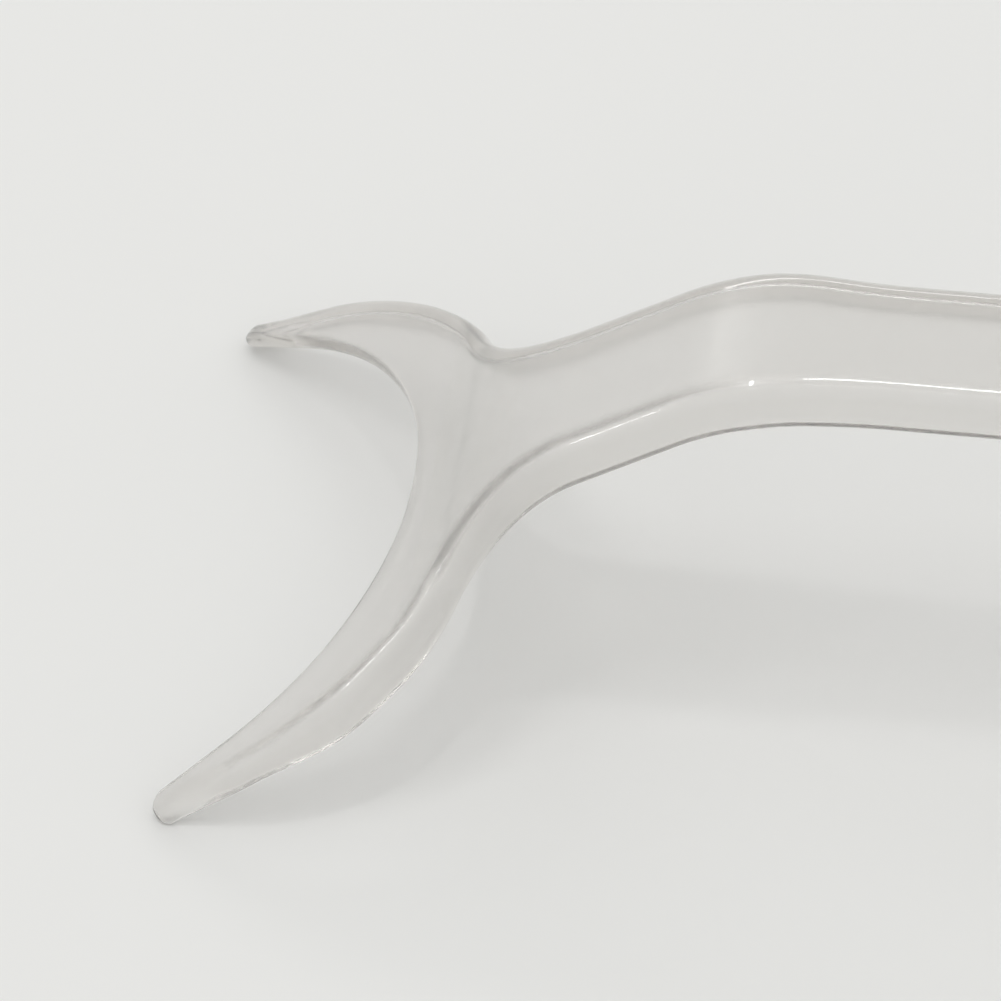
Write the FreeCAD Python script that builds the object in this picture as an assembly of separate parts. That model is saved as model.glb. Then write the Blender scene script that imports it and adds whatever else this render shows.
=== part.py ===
import FreeCAD, Part
import math
import os

V = FreeCAD.Vector

# ---------------------------------------------------------------- dimensions (mm)
# The retractor is one clear moulding: a channel-section handle that drops to a
# two-pronged fork at each end. A section is described by three numbers: the
# distance s along the centre line from just beyond the tips, the distance y from the
# centre plane, and the height n above the top skin (negative is down into the channel).

WALL = 1.3               # wall thickness everywhere
FOLD_R = 2.0             # outside rounding between top skin and flange
NOOK_R = 0.7             # inside rounding between top skin and flange
RIM_R = 0.45             # rounding along the free rim of the flange
DEPTH = 4.0              # top skin to rim
DRAFT = 0.64             # how far a flange leans outward over its depth
FLANGE_TURN = 0.4        # a flange tilts by this share of the skin's slope, else it's upright

MOUTH_R = 27.0           # radius of the round opening between the prongs
MOUTH_S = -3.15          # its centre along the centre line
MOUTH_EDGE_R = 0.5       # rounding of the plate's edge round the mouth
ARC_R = 24.45            # outer edge of the prongs
ARC_S = 7.0              # centre of that arc, along
ARC_Y = 3.25             # and across
CORNER_R = 15.3          # hollow corner between prong and stem

FORK_SLOPE = 32.9        # slope of the flat fork plate, degrees above the table
NECK_RISE = 5.0          # the neck steepens over this length
NECK_SLOPE = 53.0        # to this slope
NECK_EASE = 11.9         # and eases back over this length
STEM_SLOPE = 31.8        # to the slope of the stem
STEM = 9.6               # straight length of the stem
SHOULDER = 12.6          # arc length of the shoulder bend
GRIP_EASE = 6.0          # the level grip narrows over this length
GRIP_FLAT = 17.0         # and keeps one section from there to its middle

STEM_W = 7.33            # half width of the top skin on stem and shoulder
GRIP_W = 6.55            # and along the grip

BLADE_ANGLE = 45.0       # the prong's root ends here, about the mouth's centre
STRAIGHT_ANGLE = 62.2    # from here to its end the prong runs straight
TIP_ANGLE = 71.0         # its hollow ends and its solid tip starts here
END_ANGLE = 75.0         # and its rounded end starts here
TIP_W = 1.9              # width of the prong at its rounded end
TIP_DEPTH = 2.5          # depth of the solid tips at their outer edge
BLADE_DEPTH = 2.75       # flange depth in the middle of a prong
TIP_S = 4.0              # the flange is as deep as the tip up to here, along,
BLADE_S = 12.0           # as deep as the blade here
ROOT_S = 21.0            # and as deep as the handle from here on
TIP_REACH = 1.4          # length of the rounded end
TIP_RAMP = 4.0           # the hollow reaches its full height over this length
CREST_SHARE = 0.45       # the handle narrows from this share of the way up the shoulder
FOLD_SHARE = 0.48        # a fold takes at most this share of a low or narrow section
EDGE_FADE = 8.0          # degrees from the centre plane over which that edge rounds off

EDGE_MIN = 0.02          # rounding of the mouth's edge at the centre plane
END_TURNS = (0, 20, 40, 58, 74, 85)    # sections round the end of a tip, degrees
SPANS = {"grip": 4, "shoulder": 6, "stem": 4, "neck": 16, "root": 9, "blade": 6, "tip": 3}
FINE = 0.01              # fineness of the mesh used to find the lowest point
SMALL = 1e-9

OUT = "parts"


# ---------------------------------------------------------------- centre line
FORK_END = MOUTH_S + MOUTH_R
S_STEM = FORK_END + NECK_RISE + NECK_EASE
S_SHOULDER = S_STEM + STEM
S_LEVEL = S_SHOULDER + SHOULDER
S_GRIP = S_LEVEL + GRIP_EASE
S_MIDDLE = S_GRIP + GRIP_FLAT
S_CREST = S_SHOULDER + CREST_SHARE * SHOULDER


def legs():
    """Length, first slope and last slope of each leg of the centre line."""
    return [
        (FORK_END, FORK_SLOPE, FORK_SLOPE),
        (NECK_RISE, FORK_SLOPE, NECK_SLOPE),
        (NECK_EASE, NECK_SLOPE, STEM_SLOPE),
        (STEM, STEM_SLOPE, STEM_SLOPE),
        (SHOULDER, STEM_SLOPE, 0.0),
        (GRIP_EASE + GRIP_FLAT, 0.0, 0.0),
    ]


def centre(s):
    """Position and slope of the centre line at distance s from the tips."""
    x = 0.0
    z = 0.0
    slope = math.radians(FORK_SLOPE)
    for length, first, last in legs():
        a = math.radians(first)
        b = math.radians(last)
        run = s if s < 0.0 else min(s, length)
        if abs(b - a) < SMALL:
            x += run * math.cos(a)
            z += run * math.sin(a)
            slope = a
        else:
            radius = length / (b - a)
            slope = a + run / radius
            x += radius * (math.sin(slope) - math.sin(a))
            z += radius * (math.cos(a) - math.cos(slope))
        s -= run
        if s <= SMALL:
            break
    return x, z, slope


def bend(s, y, n):
    """Point of the moulding from its section coordinates."""
    x, z, slope = centre(s)
    tilt = slope * FLANGE_TURN
    return V(x - n * math.sin(tilt), y, z + n * math.cos(tilt))


# ---------------------------------------------------------------- outline
def blend(t):
    """Smooth step from 0 to 1."""
    t = max(0.0, min(1.0, t))
    return t * t * (3.0 - 2.0 * t)


def mix(a, b, t):
    return a + (b - a) * t


LEAN = DRAFT / DEPTH
CORNER_Y = STEM_W + CORNER_R
CORNER_S = ARC_S + math.sqrt((ARC_R + CORNER_R) ** 2 - (CORNER_Y - ARC_Y) ** 2)
ARC_START = math.atan2(CORNER_Y - ARC_Y, CORNER_S - ARC_S)


def half_width(s, grow=0.0):
    """Half width at s of the outline moved outward by grow."""
    if s <= ARC_S + (ARC_R + grow) * math.cos(ARC_START):
        return ARC_Y + math.sqrt((ARC_R + grow) ** 2 - (s - ARC_S) ** 2)
    if s <= CORNER_S:
        return CORNER_Y - math.sqrt((CORNER_R - grow) ** 2 - (s - CORNER_S) ** 2)
    return mix(STEM_W, GRIP_W, blend((s - S_CREST) / (S_GRIP - S_CREST))) + grow


def depth(s):
    """Top skin to rim at s."""
    if s > BLADE_S:
        return mix(BLADE_DEPTH, DEPTH, blend((s - BLADE_S) / (ROOT_S - BLADE_S)))
    return mix(TIP_DEPTH, BLADE_DEPTH, blend((s - TIP_S) / (BLADE_S - TIP_S)))


def opening(s):
    """How open the hollow is at s: it closes toward the tips."""
    return blend((s - mouth_edge(TIP_ANGLE)[0]) / TIP_RAMP)


# ---------------------------------------------------------------- lines across the moulding
class Line:
    """A line across the moulding in plan, from its inner end outward."""

    def __init__(self, s, y, toward_s, toward_y, width=None):
        length = math.hypot(toward_s, toward_y)
        self.s = s
        self.y = y
        self.ds = toward_s / length
        self.dy = toward_y / length
        self.width = width

    def reach(self, grow=0.0):
        """Distance along the line to the outline moved outward by grow."""
        if self.width is not None:
            return self.width + grow
        if self.y == 0.0:
            return half_width(self.s, grow)
        ps = self.s - ARC_S
        py = self.y - ARC_Y
        along = ps * self.ds + py * self.dy
        return -along + math.sqrt(along ** 2 - ps ** 2 - py ** 2 + (ARC_R + grow) ** 2)

    def at(self, t, n):
        """Point at distance t along the line and height n."""
        return bend(self.s + self.ds * t, self.y + self.dy * t, n)


def handle_line(s):
    return Line(s, 0.0, 0.0, 1.0)


def mouth_edge(angle):
    """Point of the mouth's edge and the direction away from the mouth there."""
    turn = math.radians(min(angle, STRAIGHT_ANGLE))
    past = MOUTH_R * (math.radians(angle) - turn)
    s = MOUTH_S + MOUTH_R * math.cos(turn) - past * math.sin(turn)
    y = MOUTH_R * math.sin(turn) + past * math.cos(turn)
    return s, y, turn


def prong_line(angle):
    """Line from the mouth's edge at this angle: it fans out in the root, then is radial."""
    s, y, away = mouth_edge(angle)
    if angle > STRAIGHT_ANGLE:
        share = (angle - STRAIGHT_ANGLE) / (END_ANGLE - STRAIGHT_ANGLE)
        width = mix(prong_line(STRAIGHT_ANGLE).reach(), TIP_W, share)
        return Line(s, y, math.cos(away), math.sin(away), width)
    if angle >= BLADE_ANGLE:
        return Line(s, y, math.cos(away), math.sin(away))
    first = math.atan2(half_width(FORK_END), MOUTH_R)
    a = mix(first, math.radians(BLADE_ANGLE), angle / BLADE_ANGLE)
    back_s = MOUTH_S - ARC_S
    turn = back_s * math.cos(a) - ARC_Y * math.sin(a)
    r = -turn + math.sqrt(turn ** 2 - back_s ** 2 - ARC_Y ** 2 + ARC_R ** 2)
    return Line(s, y, MOUTH_S + r * math.cos(a) - s, r * math.sin(a) - y)


# ---------------------------------------------------------------- sections
def outside(line, d):
    """Corner points of the outside, top skin to rim, as (t, n)."""
    fold = min(FOLD_R, FOLD_SHARE * d, FOLD_SHARE * line.reach())
    return {
        "top": (line.reach(-fold), 0.0),
        "fold": (line.reach(), 0.0),
        "wall_top": (line.reach(fold * LEAN), -fold),
        "wall_low": (line.reach((d - RIM_R) * LEAN), -d + RIM_R),
        "rim_out": (line.reach(d * LEAN), -d),
        "rim_a": (line.reach(d * LEAN - RIM_R), -d),
    }


def mouth_points(edge):
    """Points round the plate's edge at the mouth, as (t, n)."""
    return {
        "edge_low": (edge, -WALL),
        "corner_low": (0.0, -WALL),
        "edge_mid": (0.0, -WALL / 2),
        "corner_top": (0.0, 0.0),
        "edge_top": (edge, 0.0),
    }


def inside(line, d, open_share, rim_a, edge_low):
    """Corner points of the inside, rim to underside; closed, they lie straight below."""
    soft = (d - WALL) / (DEPTH - WALL)
    points = {
        "rim_b": (line.reach(d * LEAN - WALL + RIM_R), -d),
        "rim_in": (line.reach(d * LEAN - WALL), -d),
        "in_low": (line.reach((d - RIM_R * soft) * LEAN - WALL), -d + RIM_R * soft),
        "in_top": (line.reach((NOOK_R * soft + WALL) * LEAN - WALL), -WALL - NOOK_R * soft),
        "nook": (line.reach(WALL * LEAN - WALL), -WALL),
        "under": (line.reach(WALL * LEAN - WALL - NOOK_R), -WALL),
    }
    for i, name in enumerate(points):
        share = (i + 1) / (len(points) + 1)
        closed_t = mix(rim_a[0], edge_low[0], share)
        closed_n = mix(rim_a[1], edge_low[1], share)
        t, n = points[name]
        points[name] = (mix(closed_t, t, open_share), mix(closed_n, n, open_share))
    return points


def tip_middle(line, d):
    """Middle of a solid tip's section, which is deeper on its outer side."""
    return line.reach() / 2, -(d + WALL) / 4


def section_points(line, d, open_share, edge):
    """All corner points of a section, as (t, n)."""
    points = outside(line, d)
    points.update(mouth_points(edge))
    points.update(inside(line, d, open_share, points["rim_a"], points["edge_low"]))
    return points


def edges(line, side, points, names):
    """Chain of edges: two names are a straight edge, three are a rounded corner."""
    p = {name: line.at(t, n) for name, (t, n) in points.items()}
    for name in p:
        p[name].y *= side
    chain = []
    for group in names:
        if len(group) == 2:
            chain.append(Part.LineSegment(p[group[0]], p[group[1]]).toShape())
        else:
            curve = Part.BezierCurve()
            curve.setPoles([p[name] for name in group])
            chain.append(curve.toShape())
    return chain


OUTSIDE = [("top", "fold", "wall_top"), ("wall_top", "wall_low"),
           ("wall_low", "rim_out", "rim_a")]
INSIDE = [("rim_a", "rim_b"), ("rim_b", "rim_in", "in_low"), ("in_low", "in_top"),
          ("in_top", "nook", "under")]
MOUTH_EDGE = [("edge_low", "corner_low", "edge_mid"), ("edge_mid", "corner_top", "edge_top"),
              ("edge_top", "top")]


def handle_section(s):
    """Closed wire of the whole channel section at s."""
    line = handle_line(s)
    points = section_points(line, DEPTH, 1.0, 0.0)
    names = OUTSIDE + INSIDE
    right = edges(line, 1, points, names)
    left = edges(line, -1, points, names)
    top = Part.LineSegment(left[0].Vertexes[0].Point, right[0].Vertexes[0].Point).toShape()
    low = Part.LineSegment(right[-1].Vertexes[-1].Point, left[-1].Vertexes[-1].Point).toShape()
    return Part.Wire([top] + right + [low] + left[::-1])


def blade_section(angle):
    """Closed wire across the hollow part of a prong."""
    line = prong_line(angle)
    d = depth(line.s + line.ds * line.reach())
    edge = mix(EDGE_MIN, MOUTH_EDGE_R, blend(angle / EDGE_FADE))
    points = section_points(line, d, opening(line.s), edge)
    names = OUTSIDE + INSIDE + [("under", "edge_low")] + MOUTH_EDGE
    return Part.Wire(edges(line, 1, points, names))


def tip_section(angle, push=0.0, shrink=1.0):
    """Closed wire across a solid tip, or across its end, pushed on and shrunk to its middle."""
    line = prong_line(angle)
    d = depth(line.s + line.ds * line.reach())
    points = section_points(line, d, 0.0, MOUTH_EDGE_R)
    middle = tip_middle(line, d)
    for name, (t, n) in points.items():
        points[name] = (mix(middle[0], t, shrink), mix(middle[1], n, shrink))
    names = OUTSIDE + [("rim_a", "edge_low")] + MOUTH_EDGE
    wire = Part.Wire(edges(line, 1, points, names))
    ahead = bend(line.s - line.dy, line.y + line.ds, 0.0) - bend(line.s, line.y, 0.0)
    wire.translate(ahead * push)
    return wire


# ---------------------------------------------------------------- pieces
def loft(wires):
    return Part.makeLoft(wires, True, False)


def handle(s0, s1, spans):
    """Solid length of the handle between two stations."""
    return loft([handle_section(mix(s0, s1, i / spans)) for i in range(spans + 1)])


def grip():
    """The whole grip: a level length of one section with a narrowing length at each end."""
    flat = Part.Face(handle_section(S_GRIP)).extrude(V(2 * GRIP_FLAT, 0, 0))
    ease = handle(S_LEVEL, S_GRIP, SPANS["grip"])
    other = mirrored(ease, V(1, 0, 0))
    other.translate(V(2 * centre(S_MIDDLE)[0], 0, 0))
    return flat.fuse([ease, other]).removeSplitter()


def prong(first, last, spans):
    """Hollow length of a prong between two angles about the mouth's centre."""
    return loft([blade_section(mix(first, last, i / spans)) for i in range(spans + 1)])


def tip():
    """Solid end of a prong."""
    spans = SPANS["tip"]
    straight = loft([tip_section(mix(TIP_ANGLE, END_ANGLE, i / spans)) for i in range(spans + 1)])
    rounds = []
    for turn in END_TURNS:
        a = math.radians(turn)
        rounds.append(tip_section(END_ANGLE, TIP_REACH * math.sin(a), math.cos(a)))
    return straight.fuse(loft(rounds)).removeSplitter()


def mirrored(shape, normal):
    return shape.mirror(V(0, 0, 0), normal)


def low_point(shape):
    points, _ = shape.tessellate(FINE)
    return min(p.z for p in points)


def build():
    half = {
        "shoulder": handle(S_SHOULDER, S_LEVEL, SPANS["shoulder"]),
        "stem": handle(S_STEM, S_SHOULDER, SPANS["stem"]),
        "neck": handle(FORK_END, S_STEM, SPANS["neck"]),
    }
    pieces = {
        "root": prong(0.0, BLADE_ANGLE, SPANS["root"]),
        "blade": prong(BLADE_ANGLE, TIP_ANGLE, SPANS["blade"]),
        "tip": tip(),
    }
    for name, piece in pieces.items():
        half[name + "_back"] = piece
        half[name + "_front"] = mirrored(piece, V(0, 1, 0))

    lift = V(-centre(S_MIDDLE)[0], 0, -low_point(pieces["tip"]))
    nodes = {}
    for name in half:
        piece = half[name].copy()
        piece.translate(lift)
        parts = name.split("_")
        left = "_".join([parts[0], "left"] + parts[1:])
        right = "_".join([parts[0], "right"] + parts[1:])
        nodes[left] = piece
        nodes[right] = mirrored(piece, V(1, 0, 0))
    nodes["grip"] = grip()
    nodes["grip"].translate(lift)
    return nodes


def main():
    os.makedirs(OUT, exist_ok=True)
    nodes = build()
    for name in sorted(nodes):
        shape = nodes[name]
        if len(shape.Solids) == 1:
            shape = shape.Solids[0]
        shape.exportStep(OUT + "/" + name + ".step")
        box = shape.BoundBox
        print("%-20s %s %s vol %.1f  x %.2f..%.2f y %.2f..%.2f z %.2f..%.2f" % (
            name, shape.ShapeType, shape.isValid(), shape.Volume,
            box.XMin, box.XMax, box.YMin, box.YMax, box.ZMin, box.ZMax))


main()
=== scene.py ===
import math

import bmesh
import bpy
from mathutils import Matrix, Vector


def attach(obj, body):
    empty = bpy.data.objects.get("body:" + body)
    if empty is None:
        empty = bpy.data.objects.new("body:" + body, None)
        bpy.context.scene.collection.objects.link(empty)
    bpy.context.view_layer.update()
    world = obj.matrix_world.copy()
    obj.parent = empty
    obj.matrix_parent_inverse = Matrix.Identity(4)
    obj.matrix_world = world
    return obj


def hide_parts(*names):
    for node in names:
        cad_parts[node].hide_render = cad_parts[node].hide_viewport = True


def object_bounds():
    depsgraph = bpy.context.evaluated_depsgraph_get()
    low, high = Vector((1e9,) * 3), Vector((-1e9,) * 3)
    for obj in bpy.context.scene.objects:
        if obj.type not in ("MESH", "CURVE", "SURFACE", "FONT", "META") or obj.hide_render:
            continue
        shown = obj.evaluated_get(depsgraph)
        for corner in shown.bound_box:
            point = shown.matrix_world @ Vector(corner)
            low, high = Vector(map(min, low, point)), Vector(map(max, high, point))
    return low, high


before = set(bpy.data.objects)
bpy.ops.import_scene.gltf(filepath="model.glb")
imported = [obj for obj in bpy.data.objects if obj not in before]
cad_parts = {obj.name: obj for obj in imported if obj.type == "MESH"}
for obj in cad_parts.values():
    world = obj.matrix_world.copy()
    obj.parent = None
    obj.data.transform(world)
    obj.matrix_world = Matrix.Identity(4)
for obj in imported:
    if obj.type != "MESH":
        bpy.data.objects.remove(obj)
LOADED_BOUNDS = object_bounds()

MM = 0.001

# ------------------------------------------------------------------ the moulding, in mm
# Section coordinates, as in the CAD: s runs along the centre line from the tips,
# y is the distance from the centre plane, n the height above the top skin.

WALL = 1.3               # wall thickness everywhere
FOLD_R = 2.0             # outside rounding between top skin and flange
NOOK_R = 0.7             # inside rounding between top skin and flange
RIM_R = 0.45             # rounding along the free rim of the flange
DEPTH = 4.0              # top skin to rim
DRAFT = 0.64             # how far a flange leans outward over its depth
FLANGE_TURN = 0.4        # a flange tilts by this share of the skin's slope, else it's upright

MOUTH_R = 27.0           # radius of the round opening between the prongs
MOUTH_S = -3.15          # its centre along the centre line
MOUTH_EDGE_R = 0.5       # rounding of the plate's edge round the mouth
ARC_R = 24.45            # outer edge of the prongs
ARC_S = 7.0              # centre of that arc, along
ARC_Y = 3.25             # and across
CORNER_R = 15.3          # hollow corner between prong and stem

FORK_SLOPE = 32.9        # slope of the flat fork plate, degrees above the table
NECK_RISE = 5.0          # the neck steepens over this length
NECK_SLOPE = 53.0        # to this slope
NECK_EASE = 11.9         # and eases back over this length
STEM_SLOPE = 31.8        # to the slope of the stem
STEM = 9.6               # straight length of the stem
SHOULDER = 12.6          # arc length of the shoulder bend
GRIP_EASE = 6.0          # the level grip narrows over this length
GRIP_FLAT = 17.0         # and keeps one section from there to its middle

STEM_W = 7.33            # half width of the top skin on stem and shoulder
GRIP_W = 6.55            # and along the grip

BLADE_ANGLE = 45.0       # the prong's root ends here, about the mouth's centre
STRAIGHT_ANGLE = 62.2    # from here to its end the prong runs straight
TIP_ANGLE = 71.0         # its hollow ends and its solid tip starts here
END_ANGLE = 75.0         # and its rounded end starts here
TIP_W = 1.9              # width of the prong at its rounded end
TIP_DEPTH = 2.5          # depth of the solid tips at their outer edge
BLADE_DEPTH = 2.75       # flange depth in the middle of a prong
TIP_S = 4.0              # the flange is as deep as the tip up to here, along,
BLADE_S = 12.0           # as deep as the blade here
ROOT_S = 21.0            # and as deep as the handle from here on
TIP_REACH = 1.4          # length of the rounded end
TIP_RAMP = 4.0           # the hollow reaches its full height over this length
CREST_SHARE = 0.45       # the handle narrows from this share of the way up the shoulder
FOLD_SHARE = 0.48        # a fold takes at most this share of a low or narrow section
EDGE_FADE = 8.0          # degrees over which the edge round the mouth becomes round
SMALL = 1e-9             # less than this is nothing


# ---------------------------------------------------------------- centre line
FORK_END = MOUTH_S + MOUTH_R
S_STEM = FORK_END + NECK_RISE + NECK_EASE
S_SHOULDER = S_STEM + STEM
S_LEVEL = S_SHOULDER + SHOULDER
S_GRIP = S_LEVEL + GRIP_EASE
S_MIDDLE = S_GRIP + GRIP_FLAT
S_CREST = S_SHOULDER + CREST_SHARE * SHOULDER


def legs():
    """Length, first slope and last slope of each leg of the centre line."""
    return [
        (FORK_END, FORK_SLOPE, FORK_SLOPE),
        (NECK_RISE, FORK_SLOPE, NECK_SLOPE),
        (NECK_EASE, NECK_SLOPE, STEM_SLOPE),
        (STEM, STEM_SLOPE, STEM_SLOPE),
        (SHOULDER, STEM_SLOPE, 0.0),
        (GRIP_EASE + GRIP_FLAT, 0.0, 0.0),
    ]


def centre(s):
    """Position and slope of the centre line at distance s from the tips."""
    x = 0.0
    z = 0.0
    slope = math.radians(FORK_SLOPE)
    for length, first, last in legs():
        a = math.radians(first)
        b = math.radians(last)
        run = s if s < 0.0 else min(s, length)
        if abs(b - a) < SMALL:
            x += run * math.cos(a)
            z += run * math.sin(a)
            slope = a
        else:
            radius = length / (b - a)
            slope = a + run / radius
            x += radius * (math.sin(slope) - math.sin(a))
            z += radius * (math.cos(a) - math.cos(slope))
        s -= run
        if s <= SMALL:
            break
    return x, z, slope


def bend(s, y, n):
    """Point of the moulding from its section coordinates."""
    x, z, slope = centre(s)
    tilt = slope * FLANGE_TURN
    return x - n * math.sin(tilt), y, z + n * math.cos(tilt)


# ---------------------------------------------------------------- outline
def blend(t):
    """Smooth step from 0 to 1."""
    t = max(0.0, min(1.0, t))
    return t * t * (3.0 - 2.0 * t)


def mix(a, b, t):
    return a + (b - a) * t


LEAN = DRAFT / DEPTH
CORNER_Y = STEM_W + CORNER_R
CORNER_S = ARC_S + math.sqrt((ARC_R + CORNER_R) ** 2 - (CORNER_Y - ARC_Y) ** 2)
ARC_START = math.atan2(CORNER_Y - ARC_Y, CORNER_S - ARC_S)


def half_width(s, grow=0.0):
    """Half width at s of the outline moved outward by grow."""
    if s <= ARC_S + (ARC_R + grow) * math.cos(ARC_START):
        return ARC_Y + math.sqrt((ARC_R + grow) ** 2 - (s - ARC_S) ** 2)
    if s <= CORNER_S:
        return CORNER_Y - math.sqrt((CORNER_R - grow) ** 2 - (s - CORNER_S) ** 2)
    return mix(STEM_W, GRIP_W, blend((s - S_CREST) / (S_GRIP - S_CREST))) + grow


def depth(s):
    """Top skin to rim at s."""
    if s > BLADE_S:
        return mix(BLADE_DEPTH, DEPTH, blend((s - BLADE_S) / (ROOT_S - BLADE_S)))
    return mix(TIP_DEPTH, BLADE_DEPTH, blend((s - TIP_S) / (BLADE_S - TIP_S)))


def opening(s):
    """How open the hollow is at s: it closes toward the tips."""
    return blend((s - mouth_edge(TIP_ANGLE)[0]) / TIP_RAMP)


# ---------------------------------------------------------------- lines across the moulding
class Line:
    """A line across the moulding in plan, from its inner end outward."""

    def __init__(self, s, y, toward_s, toward_y, width=None):
        length = math.hypot(toward_s, toward_y)
        self.s = s
        self.y = y
        self.ds = toward_s / length
        self.dy = toward_y / length
        self.width = width

    def reach(self, grow=0.0):
        """Distance along the line to the outline moved outward by grow."""
        if self.width is not None:
            return self.width + grow
        if self.y == 0.0:
            return half_width(self.s, grow)
        ps = self.s - ARC_S
        py = self.y - ARC_Y
        along = ps * self.ds + py * self.dy
        return -along + math.sqrt(along ** 2 - ps ** 2 - py ** 2 + (ARC_R + grow) ** 2)

    def at(self, t, n):
        """Point at distance t along the line and height n."""
        return bend(self.s + self.ds * t, self.y + self.dy * t, n)


def handle_line(s):
    return Line(s, 0.0, 0.0, 1.0)


def mouth_edge(angle):
    """Point of the mouth's edge and the direction away from the mouth there."""
    turn = math.radians(min(angle, STRAIGHT_ANGLE))
    past = MOUTH_R * (math.radians(angle) - turn)
    s = MOUTH_S + MOUTH_R * math.cos(turn) - past * math.sin(turn)
    y = MOUTH_R * math.sin(turn) + past * math.cos(turn)
    return s, y, turn


def prong_line(angle):
    """Line from the mouth's edge at this angle: it fans out in the root, then is radial."""
    s, y, away = mouth_edge(angle)
    if angle > STRAIGHT_ANGLE:
        share = (angle - STRAIGHT_ANGLE) / (END_ANGLE - STRAIGHT_ANGLE)
        width = mix(prong_line(STRAIGHT_ANGLE).reach(), TIP_W, share)
        return Line(s, y, math.cos(away), math.sin(away), width)
    if angle >= BLADE_ANGLE:
        return Line(s, y, math.cos(away), math.sin(away))
    first = math.atan2(half_width(FORK_END), MOUTH_R)
    a = mix(first, math.radians(BLADE_ANGLE), angle / BLADE_ANGLE)
    back_s = MOUTH_S - ARC_S
    turn = back_s * math.cos(a) - ARC_Y * math.sin(a)
    r = -turn + math.sqrt(turn ** 2 - back_s ** 2 - ARC_Y ** 2 + ARC_R ** 2)
    return Line(s, y, MOUTH_S + r * math.cos(a) - s, r * math.sin(a) - y)


# ---------------------------------------------------------------- sections
def outside(line, d):
    """Corner points of the outside, top skin to rim, as (t, n)."""
    fold = min(FOLD_R, FOLD_SHARE * d, FOLD_SHARE * line.reach())
    return {
        "top": (line.reach(-fold), 0.0),
        "fold": (line.reach(), 0.0),
        "wall_top": (line.reach(fold * LEAN), -fold),
        "wall_low": (line.reach((d - RIM_R) * LEAN), -d + RIM_R),
        "rim_out": (line.reach(d * LEAN), -d),
        "rim_a": (line.reach(d * LEAN - RIM_R), -d),
    }


def mouth_points(edge):
    """Points round the plate's edge at the mouth, as (t, n)."""
    return {
        "edge_low": (edge, -WALL),
        "corner_low": (0.0, -WALL),
        "edge_mid": (0.0, -WALL / 2),
        "corner_top": (0.0, 0.0),
        "edge_top": (edge, 0.0),
    }


def inside(line, d, open_share, rim_a, edge_low):
    """Corner points of the inside, rim to underside; closed, they lie straight below."""
    soft = (d - WALL) / (DEPTH - WALL)
    points = {
        "rim_b": (line.reach(d * LEAN - WALL + RIM_R), -d),
        "rim_in": (line.reach(d * LEAN - WALL), -d),
        "in_low": (line.reach((d - RIM_R * soft) * LEAN - WALL), -d + RIM_R * soft),
        "in_top": (line.reach((NOOK_R * soft + WALL) * LEAN - WALL), -WALL - NOOK_R * soft),
        "nook": (line.reach(WALL * LEAN - WALL), -WALL),
        "under": (line.reach(WALL * LEAN - WALL - NOOK_R), -WALL),
    }
    for i, name in enumerate(points):
        share = (i + 1) / (len(points) + 1)
        closed_t = mix(rim_a[0], edge_low[0], share)
        closed_n = mix(rim_a[1], edge_low[1], share)
        t, n = points[name]
        points[name] = (mix(closed_t, t, open_share), mix(closed_n, n, open_share))
    return points


def tip_middle(line, d):
    """Middle of a solid tip's section, which is deeper on its outer side."""
    return line.reach() / 2, -(d + WALL) / 4


def section_points(line, d, open_share, edge):
    """All corner points of a section, as (t, n)."""
    points = outside(line, d)
    points.update(mouth_points(edge))
    points.update(inside(line, d, open_share, points["rim_a"], points["edge_low"]))
    return points


# ------------------------------------------------------------------ rings of the surface
# Spans along each stretch of a section's outline.
WEB_SPANS = 14
FOLD_SPANS = 10
WALL_SPANS = 4
RIM_SPANS = 5
FLAT_SPANS = 2
NOOK_SPANS = 8
EDGE_SPANS = 4
# Rows along the moulding.
GRIP_ROWS = 24
SHOULDER_ROWS = 22
STEM_ROWS = 10
NECK_ROWS = 44
PRONG_ROWS = 120
CAP_ROWS = 10
CAP_FLAT = 0.3           # share of one more row that stays flat at the very end

OUTLINE = (
    (("top", "fold", "wall_top"), FOLD_SPANS),
    (("wall_top", "wall_low"), WALL_SPANS),
    (("wall_low", "rim_out", "rim_a"), RIM_SPANS),
    (("rim_a", "rim_b"), FLAT_SPANS),
    (("rim_b", "rim_in", "in_low"), RIM_SPANS),
    (("in_low", "in_top"), WALL_SPANS),
    (("in_top", "nook", "under"), NOOK_SPANS),
    (("under", "edge_low"), WEB_SPANS),
)
MOUTH_OUTLINE = (
    (("edge_low", "corner_low", "edge_mid"), EDGE_SPANS),
    (("edge_mid", "corner_top", "edge_top"), EDGE_SPANS),
)


def trace(points, stretches):
    """Points along the named stretches, as (t, n); three names are a rounded corner."""
    ring = []
    for names, spans in stretches:
        corners = [Vector(points[name]) for name in names]
        for i in range(spans):
            t = i / spans
            if len(corners) == 2:
                ring.append(corners[0].lerp(corners[1], t))
            else:
                ring.append(corners[0].lerp(corners[1], t).lerp(
                    corners[1].lerp(corners[2], t), t))
    return ring


def ring_points(line, d, open_share, edge):
    """Ring across the moulding: top skin, fold, flange, inside, underside, mouth's edge."""
    points = section_points(line, d, open_share, edge)
    stretches = ((("edge_top", "top"), WEB_SPANS),) + OUTLINE + MOUTH_OUTLINE
    return trace(points, stretches)


def handle_ring(s):
    """Half ring from the centre plane out and back; the mouth's edge isn't part of it."""
    ring = ring_points(handle_line(s), DEPTH, 1.0, 0.0)
    return ring[:len(ring) - 2 * EDGE_SPANS + 1]


def prong_ring(angle):
    """Ring across a prong."""
    line = prong_line(angle)
    d = depth(line.s + line.ds * line.reach())
    edge = mix(0.0, MOUTH_EDGE_R, blend(angle / EDGE_FADE))
    return ring_points(line, d, opening(line.s), edge)


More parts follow.
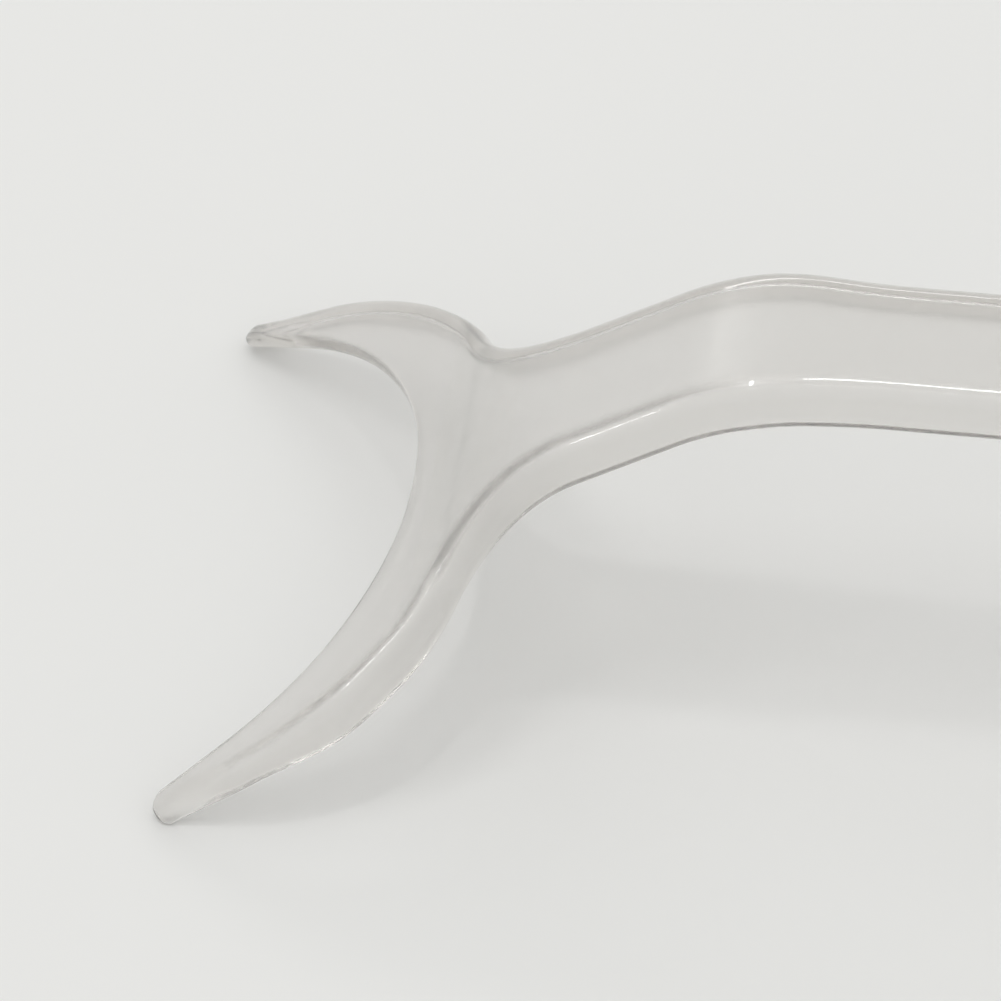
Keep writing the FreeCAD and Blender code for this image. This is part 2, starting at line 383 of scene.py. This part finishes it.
def handle_stations():
    """Stations from the middle of the grip to the fork."""
    legs_here = ((S_MIDDLE, S_LEVEL, GRIP_ROWS), (S_LEVEL, S_SHOULDER, SHOULDER_ROWS),
                 (S_SHOULDER, S_STEM, STEM_ROWS), (S_STEM, FORK_END, NECK_ROWS))
    stations = []
    for first, last, rows in legs_here:
        stations += [mix(first, last, i / rows) for i in range(rows)]
    return stations + [FORK_END]


def quarter():
    """All rings of one quarter as lists of points, and whether each is closed."""
    rings = []
    for s in handle_stations():
        line = handle_line(s)
        rings.append(([line.at(p.x, p.y) for p in handle_ring(s)], False))
    for i in range(PRONG_ROWS + 1):
        angle = END_ANGLE * i / PRONG_ROWS
        line = prong_line(angle)
        rings.append(([line.at(p.x, p.y) for p in prong_ring(angle)], True))
    return rings + tip_cap()


def tip_cap():
    """Rings that round off the end of a prong."""
    line = prong_line(END_ANGLE)
    ring = prong_ring(END_ANGLE)
    d = depth(line.s + line.ds * line.reach())
    middle = Vector(tip_middle(line, d))
    here = Vector(bend(line.s, line.y, 0.0))
    ahead = Vector(bend(line.s - line.dy, line.y + line.ds, 0.0)) - here
    rings = []
    for i in range(1, CAP_ROWS + 1):
        a = math.pi / 2 * i / (CAP_ROWS + CAP_FLAT)
        push = ahead * (TIP_REACH * math.sin(a))
        points = []
        for p in ring:
            q = middle.lerp(p, math.cos(a))
            points.append(Vector(line.at(q.x, q.y)) + push)
        rings.append((points, True))
    return rings


# ------------------------------------------------------------------ the whole surface
MERGE = 2e-7             # metres, to join the four quarters


def build_surface():
    """The moulding as one closed mesh, its height still to be set."""
    middle_x = centre(S_MIDDLE)[0]
    bm = bmesh.new()
    rings = quarter()
    for side in (1, -1):
        for end in (1, -1):
            rows = []
            for points, closed in rings:
                verts = []
                for x, y, z in points:
                    verts.append(bm.verts.new((end * (x - middle_x) * MM, side * y * MM, z * MM)))
                rows.append((verts, closed))
            for (a, a_closed), (b, b_closed) in zip(rows, rows[1:]):
                if a_closed != b_closed:
                    continue
                for i in range(len(a) if a_closed else len(a) - 1):
                    j = (i + 1) % len(a)
                    bm.faces.new((a[i], a[j], b[j], b[i]))
            bm.faces.new(rows[-1][0])
    bmesh.ops.remove_doubles(bm, verts=bm.verts, dist=MERGE)
    bmesh.ops.recalc_face_normals(bm, faces=bm.faces)
    return bm


def make_moulding():
    """The moulding as one piece, its top skin as high as the CAD's."""
    bm = build_surface()
    lift = LOADED_BOUNDS[1][2] - max(v.co.z for v in bm.verts)
    for v in bm.verts:
        v.co.z += lift
    mesh = bpy.data.meshes.new("retractor")
    bm.to_mesh(mesh)
    bm.free()
    for polygon in mesh.polygons:
        polygon.use_smooth = True
    piece = bpy.data.objects.new("retractor", mesh)
    bpy.context.scene.collection.objects.link(piece)
    return piece


# ------------------------------------------------------------------ material
PLASTIC_COLOUR = (0.955, 0.95, 0.94, 1.0)
CLEARNESS = 0.9          # share of the light that goes through
PLASTIC_IOR = 1.45
GLOSS_IOR = 1.4          # the moulded surface is glossy over the softer inside
GLOSS_ROUGHNESS = 0.03
TINT = (0.50, 0.44, 0.36, 1.0)
TINT_DENSITY = 120.0     # per metre
FLOW_SCALE = 120.0       # ripple from the plastic's flow
FLOW_DETAIL = 2.0
FLOW_STRENGTH = 0.10
FLOW_HEIGHT = 0.00015
RUB_SCALE = 900.0        # marks from handling
RUB_DETAIL = 4.0
RUB_RANGE = (0.35, 0.75)
ROUGHNESS_RANGE = (0.21, 0.26)


def clear_plastic():
    """Clear plastic: faint warm tint in depth, slight flow ripple, fine handling marks."""
    material = bpy.data.materials.new("clear_plastic_look")
    material.use_nodes = True
    nodes = material.node_tree.nodes
    links = material.node_tree.links
    shader = nodes["Principled BSDF"]
    shader.inputs["Base Color"].default_value = PLASTIC_COLOUR
    shader.inputs["Transmission Weight"].default_value = CLEARNESS
    shader.inputs["IOR"].default_value = PLASTIC_IOR
    shader.inputs["Coat Weight"].default_value = 1.0
    shader.inputs["Coat Roughness"].default_value = GLOSS_ROUGHNESS
    shader.inputs["Coat IOR"].default_value = GLOSS_IOR

    depth_tint = nodes.new("ShaderNodeVolumeAbsorption")
    depth_tint.inputs["Color"].default_value = TINT
    depth_tint.inputs["Density"].default_value = TINT_DENSITY
    links.new(depth_tint.outputs["Volume"], nodes["Material Output"].inputs["Volume"])

    where = nodes.new("ShaderNodeTexCoord")
    flow = nodes.new("ShaderNodeTexNoise")
    flow.inputs["Scale"].default_value = FLOW_SCALE
    flow.inputs["Detail"].default_value = FLOW_DETAIL
    links.new(where.outputs["Object"], flow.inputs["Vector"])
    ripple = nodes.new("ShaderNodeBump")
    ripple.inputs["Strength"].default_value = FLOW_STRENGTH
    ripple.inputs["Distance"].default_value = FLOW_HEIGHT
    links.new(flow.outputs["Fac"], ripple.inputs["Height"])
    links.new(ripple.outputs["Normal"], shader.inputs["Normal"])

    rub = nodes.new("ShaderNodeTexNoise")
    rub.inputs["Scale"].default_value = RUB_SCALE
    rub.inputs["Detail"].default_value = RUB_DETAIL
    links.new(where.outputs["Object"], rub.inputs["Vector"])
    spread = nodes.new("ShaderNodeMapRange")
    spread.inputs["From Min"].default_value = RUB_RANGE[0]
    spread.inputs["From Max"].default_value = RUB_RANGE[1]
    spread.inputs["To Min"].default_value = ROUGHNESS_RANGE[0]
    spread.inputs["To Max"].default_value = ROUGHNESS_RANGE[1]
    links.new(rub.outputs["Fac"], spread.inputs["Value"])
    links.new(spread.outputs["Result"], shader.inputs["Roughness"])
    return material


# ------------------------------------------------------------------ setting, in metres
FLOOR_SIZE = 6.0
FLOOR_COLOUR = (0.86, 0.86, 0.845, 1.0)
FLOOR_ROUGHNESS = 0.7
FLOOR_SPECULAR = 0.15

CAMERA_YAW = 7.342       # degrees round from straight in front
CAMERA_RISE = 42.168     # degrees above the table
CAMERA_DISTANCE = 3.3333
CAMERA_TARGET = Vector((-0.04764, -0.00719, 0.01789))
VIEW_WIDTH = 0.07898     # what the picture takes in at the target
SENSOR = 36.0            # mm
NEAREST = 0.01
FARTHEST = 10.0

WALL_LIGHT = (1.0, 1.0, 1.0, 1.0)
CEILING_LIGHT = (0.88, 0.88, 0.87, 1.0)
CEILING_START = 0.95     # height of the ceiling's own shade, where 1 is straight up
ROOM_STRENGTH = 0.85
LAMP_TARGET = (-0.04, 0.0, 0.01)
LAMP_DISTANCE = 0.9
# Name, direction from the target, size and power in watts.
LAMPS = (
    ("lamp_left", (-0.38, -0.02, 0.92), (0.36, 0.03), 0.60),
    ("lamp_top", (-0.03, 0.07, 0.99), (0.06, 0.06), 0.32),
    ("lamp_low", (-0.80, -0.36, 0.47), (0.06, 0.05), 0.20),
    ("lamp_back", (-0.25, 0.86, 0.44), (0.50, 0.05), 0.50),
)


def make_floor():
    bpy.ops.mesh.primitive_plane_add(size=FLOOR_SIZE, location=(0, 0, 0))
    floor = bpy.context.object
    floor.name = "floor"
    material = bpy.data.materials.new("table_top")
    material.use_nodes = True
    shader = material.node_tree.nodes["Principled BSDF"]
    shader.inputs["Base Color"].default_value = FLOOR_COLOUR
    shader.inputs["Roughness"].default_value = FLOOR_ROUGHNESS
    shader.inputs["Specular IOR Level"].default_value = FLOOR_SPECULAR
    floor.data.materials.append(material)
    return floor


def make_camera():
    yaw = math.radians(CAMERA_YAW)
    rise = math.radians(CAMERA_RISE)
    data = bpy.data.cameras.new("camera")
    data.sensor_width = SENSOR
    data.lens = SENSOR * CAMERA_DISTANCE / VIEW_WIDTH
    data.clip_start = NEAREST
    data.clip_end = FARTHEST
    data.dof.use_dof = False
    camera = bpy.data.objects.new("camera", data)
    back = Vector((math.sin(yaw) * math.cos(rise), -math.cos(yaw) * math.cos(rise), math.sin(rise)))
    camera.location = CAMERA_TARGET + back * CAMERA_DISTANCE
    camera.rotation_euler = (-back).to_track_quat("-Z", "Y").to_euler()
    bpy.context.scene.collection.objects.link(camera)
    bpy.context.scene.camera = camera


def make_room():
    """A pale room: bright walls and a slightly dimmer ceiling."""
    world = bpy.data.worlds.new("room")
    bpy.context.scene.world = world
    world.use_nodes = True
    nodes = world.node_tree.nodes
    links = world.node_tree.links
    where = nodes.new("ShaderNodeTexCoord")
    split = nodes.new("ShaderNodeSeparateXYZ")
    links.new(where.outputs["Generated"], split.inputs["Vector"])
    shade = nodes.new("ShaderNodeValToRGB")
    ramp = shade.color_ramp
    ramp.interpolation = "EASE"
    ramp.elements[0].position = 0.0
    ramp.elements[0].color = WALL_LIGHT
    ramp.elements[1].position = CEILING_START
    ramp.elements[1].color = CEILING_LIGHT
    links.new(split.outputs["Z"], shade.inputs["Fac"])
    links.new(shade.outputs["Color"], nodes["Background"].inputs["Color"])
    nodes["Background"].inputs["Strength"].default_value = ROOM_STRENGTH


def make_lamp(name, way, size, power):
    """A rectangular lamp in this direction from the target, turned toward it."""
    target = Vector(LAMP_TARGET)
    place = Vector(way).normalized() * LAMP_DISTANCE + target
    data = bpy.data.lights.new(name, "AREA")
    data.shape = "RECTANGLE"
    data.size = size[0]
    data.size_y = size[1]
    data.energy = power
    lamp = bpy.data.objects.new(name, data)
    lamp.location = place
    lamp.rotation_euler = (target - place).to_track_quat("-Z", "Y").to_euler()
    bpy.context.scene.collection.objects.link(lamp)


def main():
    moulding = make_moulding()
    moulding.data.materials.append(clear_plastic())
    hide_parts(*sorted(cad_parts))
    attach(moulding, "root")
    make_floor()
    make_room()
    for lamp in LAMPS:
        make_lamp(*lamp)
    bpy.context.scene.view_settings.view_transform = "Standard"
    make_camera()


main()
